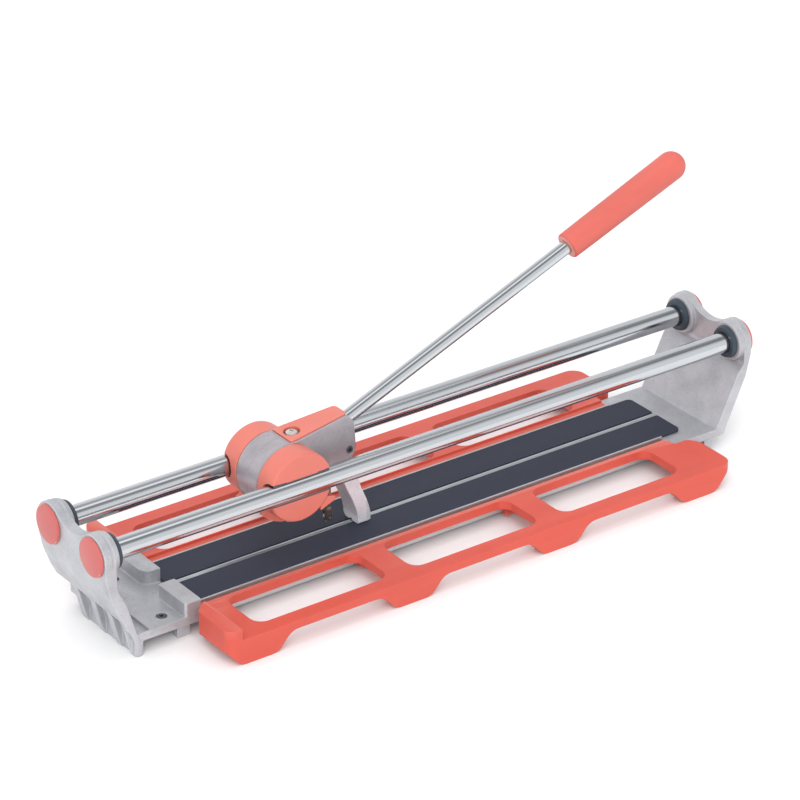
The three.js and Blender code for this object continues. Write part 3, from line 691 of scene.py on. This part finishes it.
def stop_end_support():
    """The plate with the tray behind it, two fence blocks and the feet."""
    slab = block("slab", (-303, BED_FROM), (-50.5, 50.5), SLAB)
    tray = prism("tray", "y", [(-300.2, 16.9), (-290, 16.9), (-290, 30), (-307, 30)], -48.3, 48.3)
    piece = cut(join(stop_end_plate(), slab), tray)
    fence_from, fence_in, fence_out = BED_FROM - 15.5, 10.5, 50.3
    for place, side in SIDES:
        near_radius = 9 if place == "back" else 1.5
        fence = prism("fence", "z", rounded([
            (BED_FROM, side * fence_in), (BED_FROM, side * fence_out, 1),
            (fence_from, side * fence_out, 2.5), (fence_from, side * fence_in, near_radius),
        ]), SLAB[0], FENCE_TOP)
        piece = join(piece, fence, foot_block("foot", (-262, -250), side, (39, 45)))
    front_leg = prism("front_leg", "x", [(-50.8, 16), (-42.5, 16), (-44.5, 0.02), (-50, 0.02)], -305, -297.5)
    back_leg = prism("back_leg", "x", [(50, 16), (42.5, 16), (44.5, 0), (49.5, 0)], -296, -288)
    ejector_mark = rod("ejector_mark", "z", 1.6, 18, DECK + 0.5, (-281, 4, 0))
    piece = join(piece, front_leg, back_leg, ejector_mark)
    for _, side in SIDES:
        centre = (TRAY_SCREW["x"], side * TRAY_SCREW["y"], 0)
        bore = rod("screw_bore", "z", TRAY_SCREW["bore"], 10, 25, centre)
        seat = rod("screw_seat", "z", TRAY_SCREW["seat"], TRAY_SCREW["seat_z"], 25, centre)
        piece = cut(piece, bore, seat)
    stand_for(cast(piece, 0.5, 3), "frame", "stop_end_support")


def far_end_support():
    """The far end's leaning plate on its base, with three ribs behind and four feet."""
    outer, inner, plate_face = FAR["outer"], FAR["boss"], FAR["plate"]
    plate = prism("far_end_casting", "y", rounded([
        (291, 13), (301, 13, 2), (314, 42, 14), (324, 63.5, 14), (outer, 84, 12), (outer, RAIL_Z),
        (plate_face, RAIL_Z), (plate_face, 75, 5), (315, 68, 8), (292.3, DECK),
    ]), -PLATE_HALF, PLATE_HALF)
    plate = add_bosses(join(plate, boss_bridge(FAR)), FAR, [
        (outer, BOSS["r"], 0.7), (326.8, BOSS["r"], 0.3), (326.4, 18.5, 0.2), (325.8, 18.5, 0.2),
        (325.4, BOSS["r"], 0.3), (322.4, BOSS["r"], 0.5), (321.6, 17.8, 0.3), (inner + 1.2, 17.8, 0.5),
        (inner, 16.8, 0.6),
    ])
    piece = join(plate, block("slab", (BED_TO, 296), (-PLATE_HALF, PLATE_HALF), SLAB))
    for y in (-25, 0, 25):
        piece = join(piece, prism("rib", "y", [(290, 0), (297, 0), (304, 20), (290, 20)], y - 3, y + 3))
    for _, side in SIDES:
        piece = join(piece, foot_block("corner_foot", (280, 288), side, (45, 50.5)))
        piece = join(piece, foot_block("inner_foot", (252, 262), side, (40, 46)))
    stand_for(cast(piece, 0.5, 3), "frame", "far_end_support")


stop_end_support()
far_end_support()

# ------------------------------------------------------------------ rails, bushes and caps


def bar_profile(low, high, radius, chamfer):
    """A round bar with a small chamfer at each end."""
    return [
        (low, 0), (low, radius - chamfer), (low + chamfer, radius), (high - chamfer, radius),
        (high, radius - chamfer), (high, 0),
    ]


def rail(place, side):
    profile = bar_profile(*RAIL_ENDS, RAIL_R, 0.8)
    piece = turned(f"rail_{place}_bar", "x", profile, (0, side * RAIL_Y, RAIL_Z), 128)
    stand_for(smooth(piece), "frame", f"rail_{place}")


def rail_bush(end, place, side):
    """A flanged ring round a rail, from its seat on the boss to its soft inner lip."""
    low, high = span(f"rail_bush_{end}_{place}")
    seat, lip = (low[0], high[0]) if end == "stop" else (high[0], low[0])
    inward = 1 if end == "stop" else -1
    bore, radius = RAIL_R + 0.08, (high[2] - low[2]) / 2
    profile = rounded([
        (seat, bore), (seat, radius, 0.3), (seat + inward * 1.2, radius, 0.5),
        (lip - inward * 0.2, radius - 1.3, 0.9), (lip, radius - 3, 0.5), (lip, bore + 0.6, 0.3),
        (lip - inward * 0.8, bore),
    ], steps=4)
    centre = (0, side * RAIL_Y, RAIL_Z)
    piece = turned(f"rail_bush_{end}_{place}_ring", "x", profile + profile[:1], centre, 80)
    stand_for(smooth(piece), "frame", f"rail_bush_{end}_{place}")


def end_cap(end, place, side):
    """A shallow dome with a soft rim outside the boss, and a hollow plug behind it."""
    low, high = span(f"end_cap_{end}_{place}")
    crown, plug_end = (low[0], high[0]) if end == "stop" else (high[0], low[0])
    out = -1 if end == "stop" else 1
    face = (STOP if end == "stop" else FAR)["outer"] + out * 0.2
    rise = abs(crown - face)
    plug, hollow, dome_r = 12.6, 9, 14
    dome = [(crown - out * rise * 0.3 * (r / 15) ** 2, r) for r in range(0, dome_r + 1, 2)]
    rim = rounded([
        dome[-1], (crown - out * rise * 0.36, 16.3, 0.9), (face, 17, 0.3), (face, plug), (plug_end, plug),
    ], steps=5, closed=False)
    inside = [(plug_end, hollow), (face + out * 0.9, hollow), (face + out * 0.9, 0)]
    profile = dome + rim[1:] + inside
    piece = turned(f"end_cap_{end}_{place}_dome", "x", profile, (0, side * RAIL_Y, RAIL_Z), 96)
    stand_for(smooth(piece, 35), "frame", f"end_cap_{end}_{place}", shade="cap_orange")


for place, side in SIDES:
    rail(place, side)
    for end in ("stop", "far"):
        rail_bush(end, place, side)
        end_cap(end, place, side)


def socket_screw(place, side):
    low, high = span(f"stop_support_screw_{place}")
    centre = (TRAY_SCREW["x"], side * TRAY_SCREW["y"], 0)
    shank, head, head_z = 2, 4.1, TRAY_SCREW["seat_z"] + 0.4
    profile = rounded([
        (low[2], 0), (low[2], shank), (head_z, shank), (head_z, head, 0.3), (high[2], head, 0.6),
        (high[2], 0),
    ], steps=4, closed=False)
    piece = turned(f"stop_support_screw_{place}_head", "z", profile, centre, 64)
    piece = cut(piece, rod("socket", "z", 1.9, head_z + 1, 25, centre, 6))
    stand_for(ease(piece, 0.15, 2), "frame", f"stop_support_screw_{place}")


for place, side in SIDES:
    socket_screw(place, side)

# ------------------------------------------------------------------ side wings
wing_low, wing_high = span("wing_back")
WING = {"inner": 40, "outer": wing_high[1], "top": 23, "bottom": 15.5, "inner_top": 21}
WING_ENDS = (wing_low[0], wing_high[0])
WINDOWS = ((-219, -89.5), (-66, 65), (88.3, 216.5))
WINDOW_Y = (47.5, 96)
FOOT_CENTRES = (-226, -75.3, 75.3, 226)
TAB_X = (-75, 75)


def wing_foot(x, side, plan_line):
    """A foot that swells out of the wing's outer edge, trimmed to the wing's outline."""
    bottom = WING["bottom"]
    left = bezier((x - 38, bottom), (x - 23, bottom), (x - 25, 0), (x - 11, 0))
    right = bezier((x + 11, 0), (x + 25, 0), (x + 23, bottom), (x + 38, bottom))
    outline = [
        (x - 38, bottom + 2), (x - 38, bottom), *left, (x + 11, 0), *right, (x + 38, bottom + 2),
    ]
    foot = prism("foot", "y", outline, *sorted((side * 96, side * 112)))
    return common(foot, prism("foot_line", "z", plan_line, -1, 30))


def wing_tab(x, side):
    """An upright under the wing's inner edge with a drilled hook that reaches below the bed."""
    along, hook_in, outer, low = (x - 6, x + 6), 31, 43.5, 3.4
    upright = block("tab", along, sorted((side * 39.1, side * outer)), (low, 17))
    hook = block("hook", along, sorted((side * hook_in, side * outer)), (low, 5.7))
    return cut(join(upright, hook), rod("hole", "z", 2.3, 0, 8, (x, side * 35.4, 0)))


def wing(place, side):
    def plan(corners):
        return rounded([(u, side * v, *rest) for u, v, *rest in corners], steps=8)

    start, end = WING_ENDS
    inner, outer = WING["inner"], WING["outer"]
    ledge, corner_in = 55.5, 66
    edge = [
        (-241.6, inner), (BED_TO - 0.4, inner), (BED_TO - 0.4, 54.5, 2), (257, 54.5, 6), (end, 64, 6),
        (end, outer, 12), (start, outer, 9), (start, corner_in, 2), (-244.5, ledge, 2), (-241.6, ledge),
    ]
    piece = prism(f"wing_{place}_moulding", "z", plan(edge), WING["bottom"], WING["top"])
    for x0, x1 in WINDOWS:
        y0, y1 = WINDOW_Y
        corners = plan([(x0, y0, 11), (x1, y0, 11), (x1, y1, 11), (x0, y1, 11)])
        piece = cut(piece, prism("window", "z", corners, 0, 40))
    across = sorted((side * 30, side * 46.6))
    piece = cut(piece, block("inner_step", (-270, 270), across, (WING["inner_top"], 40)))
    fence = plan([
        (start, outer, 9), (start, corner_in, 2), (-244.5, ledge, 2), (BED_FROM, ledge), (BED_FROM, outer),
    ])
    piece = join(piece, prism("fence", "z", fence, 12.5, FENCE_TOP))
    for x in FOOT_CENTRES:
        piece = join(piece, wing_foot(x, side, plan(edge)))
    for x in TAB_X:
        piece = join(piece, wing_tab(x, side))
    stand_for(ease(piece, 1.3, 4), "frame", f"wing_{place}")


for place, side in SIDES:
    wing(place, side)

# ------------------------------------------------------------------ carriage
CHEEK = {"r": 30.4, "inner": 15.4, "outer": 36.9}
PIVOT = (PIVOT_X, 0, PIVOT_Z)


def about_pivot(points):
    """Outline corners given from the pivot, moved to where the pivot is."""
    return [(PIVOT_X + u, PIVOT_Z + v, *rest) for u, v, *rest in points]


def ring_sector(name, axis, centre, radii, degrees, low, high, steps=28):
    """A curved wall round an axis, between two radii and two angles."""
    first, last = (math.radians(d) for d in degrees)
    turns = [first + (last - first) * k / steps for k in range(steps + 1)]
    there = [(radii[1], t) for t in turns]
    back = [(radii[0], t) for t in reversed(turns)]
    outline = [(centre[0] + r * math.cos(t), centre[1] + r * math.sin(t)) for r, t in there + back]
    return prism(name, axis, outline, low, high)


def cheek(place, side):
    """A thick round housing with a channel for the rail, a lug for the bridge and a small tab."""
    inner, outer, radius = CHEEK["inner"], CHEEK["outer"], CHEEK["r"]
    depth = outer - inner
    profile = rounded([
        (0, 0), (0, radius, 0.5), (depth - 1.2, radius, 2.4), (depth - 0.2, 14), (depth, 0),
    ], steps=8, closed=False)
    profile = [(side * (inner + t), r) for t, r in profile]
    piece = turned(f"carriage_cheek_{place}_shell", "y", profile, PIVOT, 128)
    lug_y = sorted((side * inner, side * 20))
    lug = ring_sector("lug", "y", (PIVOT_X, PIVOT_Z), (28, 36.5), (-140, -55), *lug_y)
    tab_line = rounded(about_pivot([(20, -16), (34, -18.5, 1.5), (34, -22.5, 1.5), (20, -28)]))
    tab = prism("tab", "y", tab_line, *sorted((side * 20, side * 34)))
    channel = rod("channel", "x", 10.4, -200, -70, (0, side * RAIL_Y, RAIL_Z), 96)
    bore = rod("pin_bore", "y", 5.3, *sorted((side * 10, side * 21.7)), PIVOT)
    piece = cut(join(piece, lug, tab), channel, bore)
    stand_for(cast(piece, 0.45, 4), "carriage", f"carriage_cheek_{place}", shade="pale_orange")


def rail_liner(place, side):
    """A C-shaped slide, open away from the middle."""
    low, high = span(f"rail_liner_{place}")
    facing = 180 if side < 0 else 0
    sweep = (facing + 68, facing + 292)
    radii = (RAIL_R + 0.12, 10.2)
    piece = ring_sector(
        f"rail_liner_{place}_shell", "x", (side * RAIL_Y, RAIL_Z), radii, sweep, low[0], high[0], 48)
    stand_for(ease(piece, 0.2, 2), "carriage", f"rail_liner_{place}")


for place, side in SIDES:
    cheek(place, side)
    rail_liner(place, side)

# ------------------------------------------------------------------ lever
HUB = {"r": 30.4, "half": 15.1}
ROD_R = 6
SEAM = {"half": 0.5, "foot": 0.9, "proud": 0.35}
CLAMP = {"x": 65.5, "z": 3.6}
HEAD_TOP = ((4, 30.2), (63, 36.6))
COVER = {"start": 5, "end": 64, "screw": 15, "inset": 1.4, "depth": 2.6, "proud": 1.1}
TAPER = {"from": 12, "slope": 0.092}


def head_top(x, lift=0):
    """Height of the head's top line over the pivot, x ahead of it."""
    (x0, z0), (x1, z1) = HEAD_TOP
    return (x, z0 + (z1 - z0) * (x - x0) / (x1 - x0) + lift)


def head_plan(name, inset, start, end, corner):
    """The head seen from above: full width at the drum, narrow where the rod comes out."""
    def half(x):
        return HUB["half"] - max(0, x - TAPER["from"]) * TAPER["slope"] - inset

    bend = TAPER["from"]
    corners = [
        (start, -half(start)), (bend, -half(bend), 10), (end, -half(end), corner),
        (end, half(end), corner), (bend, half(bend), 10), (start, half(start)),
    ]
    return prism(name, "z", rounded([(PIVOT_X + u, v, *rest) for u, v, *rest in corners]), 10, 160)


def along_lever(piece):
    """Turns a piece made along +X from the pivot to lie along the lever."""
    from_pivot = Vector(PIVOT) * MM
    for vertex in piece.data.vertices:
        x, y, z = vertex.co - from_pivot
        turned_up = Vector((x * math.cos(LEVER_ANGLE) - z * math.sin(LEVER_ANGLE), y,
                            x * math.sin(LEVER_ANGLE) + z * math.cos(LEVER_ANGLE)))
        vertex.co = from_pivot + turned_up
    return piece


def lever_head():
    """The drum with its mould seam, the tapered arm, and the openings for what the head carries."""
    half, radius = HUB["half"], HUB["r"]
    drum = turned("lever_head_casting", "y", rounded([
        (-half, 0), (-half, radius, 1.6), (-SEAM["foot"], radius), (-SEAM["half"], radius + SEAM["proud"]),
        (SEAM["half"], radius + SEAM["proud"]), (SEAM["foot"], radius), (half, radius, 1.6), (half, 0),
    ], steps=5, closed=False), PIVOT, 128)
    arm = prism("arm", "y", rounded(about_pivot([
        (0, 0), HEAD_TOP[0], (*HEAD_TOP[1], 6), (70, 29, 6), (73, 3.5, 4), (68, -4.5, 3), (24, -4.5, 3),
        (0, -20),
    ])), -20, 20)
    arm = common(arm, head_plan("plan", 0, -5, 74, 4.5))
    start, end, clear = COVER["start"], COVER["end"], 12
    pocket = prism("pocket", "y", about_pivot([
        head_top(start, -COVER["depth"]), head_top(end, -COVER["depth"]), head_top(end, clear),
        head_top(start, clear),
    ]), -30, 30)
    pocket = common(pocket, head_plan("pocket_plan", COVER["inset"], start, end, 4))
    piece = cut(
        join(drum, arm),
        rod("bush_bore", "y", 7.3, -20, 20, PIVOT),
        pocket,
        along_lever(rod("rod_bore", "x", ROD_R + 0.15, PIVOT_X + 36, PIVOT_X + 100, (0, 0, PIVOT_Z))),
        rod("stem_bore", "z", 3.3, PIVOT_Z - 20, PIVOT_Z + 8.3, (WHEEL_X, 0, 0)),
        block("tang_slot", (PIVOT_X + 56, PIVOT_X + 69), (-5.3, 5.3), (PIVOT_Z - 20, PIVOT_Z + 5)),
        rod("clamp_bore", "y", 3.2, -20, -5, (PIVOT_X + CLAMP["x"], 0, PIVOT_Z + CLAMP["z"])),
    )
    stand_for(cast(piece, 0.5, 3), "lever", "lever_head")


def head_cover():
    """The cover over the head's pocket, with a round window for its screw."""
    start, end = COVER["start"] + GAP, COVER["end"] - GAP
    floor, proud = GAP - COVER["depth"], COVER["proud"]
    cover = prism("head_cover_shell", "y", about_pivot([
        head_top(start, floor), head_top(end, floor), head_top(end, proud), head_top(start, proud),
    ]), -30, 30)
    cover = common(cover, head_plan("cover_plan", COVER["inset"] + GAP, start, end, 4))
    cover = cut(cover, rod("screw_window", "z", 7, 100, 160, (PIVOT_X + COVER["screw"], 0, 0), 96))
    stand_for(ease(cover, 0.8, 4), "lever", "head_cover", shade="pale_orange")


def cover_screw():
    """A pan head on its shank, with a cross slot."""
    low, high = span("cover_screw")
    x = PIVOT_X + COVER["screw"]
    top, seat, shank = high[2], high[2] - 3.3, 2.8
    profile = rounded([
        (low[2], 0), (low[2], shank), (seat, shank), (seat, 5.4, 0.3), (top - 1.2, 5.2, 1.6),
        (top, 2.6, 1.2), (top, 0),
    ], steps=6, closed=False)
    piece = turned("cover_screw_head", "z", profile, (x, 0, 0), 64)
    half_long, half_wide = 2.3, 0.45
    for u, v in ((half_wide, half_long), (half_long, half_wide)):
        piece = cut(piece, block("slot", (x - u, x + u), (-v, v), (top - 1.6, top + 2)))
    stand_for(ease(piece, 0.12, 2), "lever", "cover_screw")


def clamp_screw():
    low, high = span("clamp_screw")
    centre = ((low[0] + high[0]) / 2, 0, (low[2] + high[2]) / 2)
    corners = [(low[1], 0), (low[1], 3, 0.4), (high[1], 3, 0.4), (high[1], 0)]
    profile = rounded(corners, steps=4, closed=False)
    piece = turned("clamp_screw_body", "y", profile, centre, 48)
    piece = cut(piece, rod("socket", "y", 1.7, low[1] - 2, low[1] + 2.2, centre, 6))
    stand_for(ease(piece, 0.12, 2), "lever", "clamp_screw")


def lever_rod():
    profile = bar_profile(PIVOT_X + 36.3, PIVOT_X + 440.5, ROD_R, 0.6)
    piece = along_lever(turned("lever_rod_bar", "x", profile, (0, 0, PIVOT_Z), 96))
    stand_for(smooth(piece), "lever", "lever_rod")


def grip():
    """The moulded grip: a soft front edge, a slight swelling and a round end."""
    low, high, radius, end_radius = PIVOT_X + 320, PIVOT_X + 452.5, 12.1, 12.8
    shoulder = high - end_radius
    neck = rounded([
        (low, 0), (low, radius - 0.3, 1.8), (low + 26, radius, 40), (shoulder, end_radius),
    ], steps=8, closed=False)
    turns = [k * math.pi / 32 for k in range(1, 16)]
    dome = [(shoulder + end_radius * math.sin(t), end_radius * math.cos(t)) for t in turns]
    outer = turned("grip_moulding", "x", neck + dome + [(high, 0)], (0, 0, PIVOT_Z), 96)
    outer = cut(outer, rod("rod_hole", "x", ROD_R + 0.1, low - 5, high - 11, (0, 0, PIVOT_Z), 96))
    stand_for(smooth(along_lever(outer), 40), "lever", "grip")


# The breaker's foot: half its width behind and at its nose, and from where it narrows, round the pivot.
FOOT = {"half": 11, "nose_half": 8.5, "nose": 88, "narrows": 81.5, "low": -69}


def breaker():
    """A claw that curves down from a tang in the head to a flat foot with a notch over the ridge."""
    top, heel, toe = -4.8, 73, 87.5
    low = PIVOT_Z + FOOT["low"]
    back = bezier((54.5, top), (54.5, -26), (70, -42), (heel, -62), 24)
    front = bezier((toe, FOOT["low"]), (88, -52), (72, -36), (69, top), 24)
    side = about_pivot([(54.5, top), *back, (heel, FOOT["low"]), (toe, FOOT["low"]), *front])
    half, nose_half = FOOT["half"], FOOT["nose_half"]
    claw = prism("breaker_casting", "y", side, -half, half)
    plan = rounded([(PIVOT_X + u, v, *rest) for u, v, *rest in (
        (50, -half), (FOOT["narrows"], -half, 1), (FOOT["nose"], -nose_half, 3),
        (FOOT["nose"], nose_half, 3), (FOOT["narrows"], half, 1), (50, half),
    )])
    across = rounded([(-half, low, 2), (half, low, 5), (half, 100), (-half, 100)])
    past_both_ends = (PIVOT_X + 40, PIVOT_X + 100)
    piece = common(
        claw, prism("foot_plan", "z", plan, 10, 100), prism("underside", "x", across, *past_both_ends))
    tang = block("tang", (PIVOT_X + 56.4, PIVOT_X + 68.6), (-5, 5), (PIVOT_Z - 10, PIVOT_Z + 4.6))
    notch_line = [(-3.4, low - 2), (3.4, low - 2), (1.6, low + 1.4), (-1.6, low + 1.4)]
    notch = prism("notch", "x", notch_line, *past_both_ends)
    # The breaker wears the casting copy that is lightened with a painted highlight and painted reflection.
    stand_for(cast(cut(join(piece, tang), notch), 0.4, 3), "lever", "breaker", shade="casting_with_painted_highlight")


AXLE_R = 0.95


def wheel_holder():
    """A round stem that widens into a slotted fork for the wheel."""
    low, high = span("wheel_holder")
    fork, stem = 4, 3
    profile = rounded([
        (low[2], 0), (low[2], 3.2, 0.8), (low[2] + 1.6, fork, 0.8), (WHEEL_Z + 8, fork, 0.8),
        (WHEEL_Z + 9.6, stem, 0.8), (high[2], stem, 0.5), (high[2], 0),
    ], steps=5, closed=False)
    piece = turned("wheel_holder_stem", "z", profile, (WHEEL_X, 0, 0), 64)
    slot = block("slot", (WHEEL_X - 6, WHEEL_X + 6), (-1.3, 1.3), (low[2] - 2, WHEEL_Z + 6))
    piece = cut(piece, slot, rod("axle_bore", "y", AXLE_R, -6, 6, (WHEEL_X, 0, WHEEL_Z), 32))
    stand_for(ease(piece, 0.15, 2), "lever", "wheel_holder", shade="dull_steel")


def scoring_wheel():
    """A thin disc, bevelled from both faces to a sharp edge."""
    half, rim, edge = 1, 3.5, 5
    profile = [
        (-half, AXLE_R), (-half, rim), (-0.75, 3.7), (0, edge), (0.75, 3.7), (half, rim), (half, AXLE_R),
        (-half, AXLE_R),
    ]
    piece = turned("scoring_wheel_disc", "y", profile, (WHEEL_X, 0, WHEEL_Z), 96)
    stand_for(smooth(piece), "wheel", "scoring_wheel")


lever_head()
head_cover()
cover_screw()
clamp_screw()
lever_rod()
grip()
breaker()
wheel_holder()
scoring_wheel()

# ------------------------------------------------------------------ CAD nodes that stay as they are
for name, node in frame["nodes"].items():
    if not node.hide_render:
        wear(node, MATERIALS[SLOT_OF[name]])
        edge = node.modifiers.new("edge", "BEVEL")
        edge.width = 0.2 * MM
        edge.segments = 2
        edge.limit_method = "ANGLE"
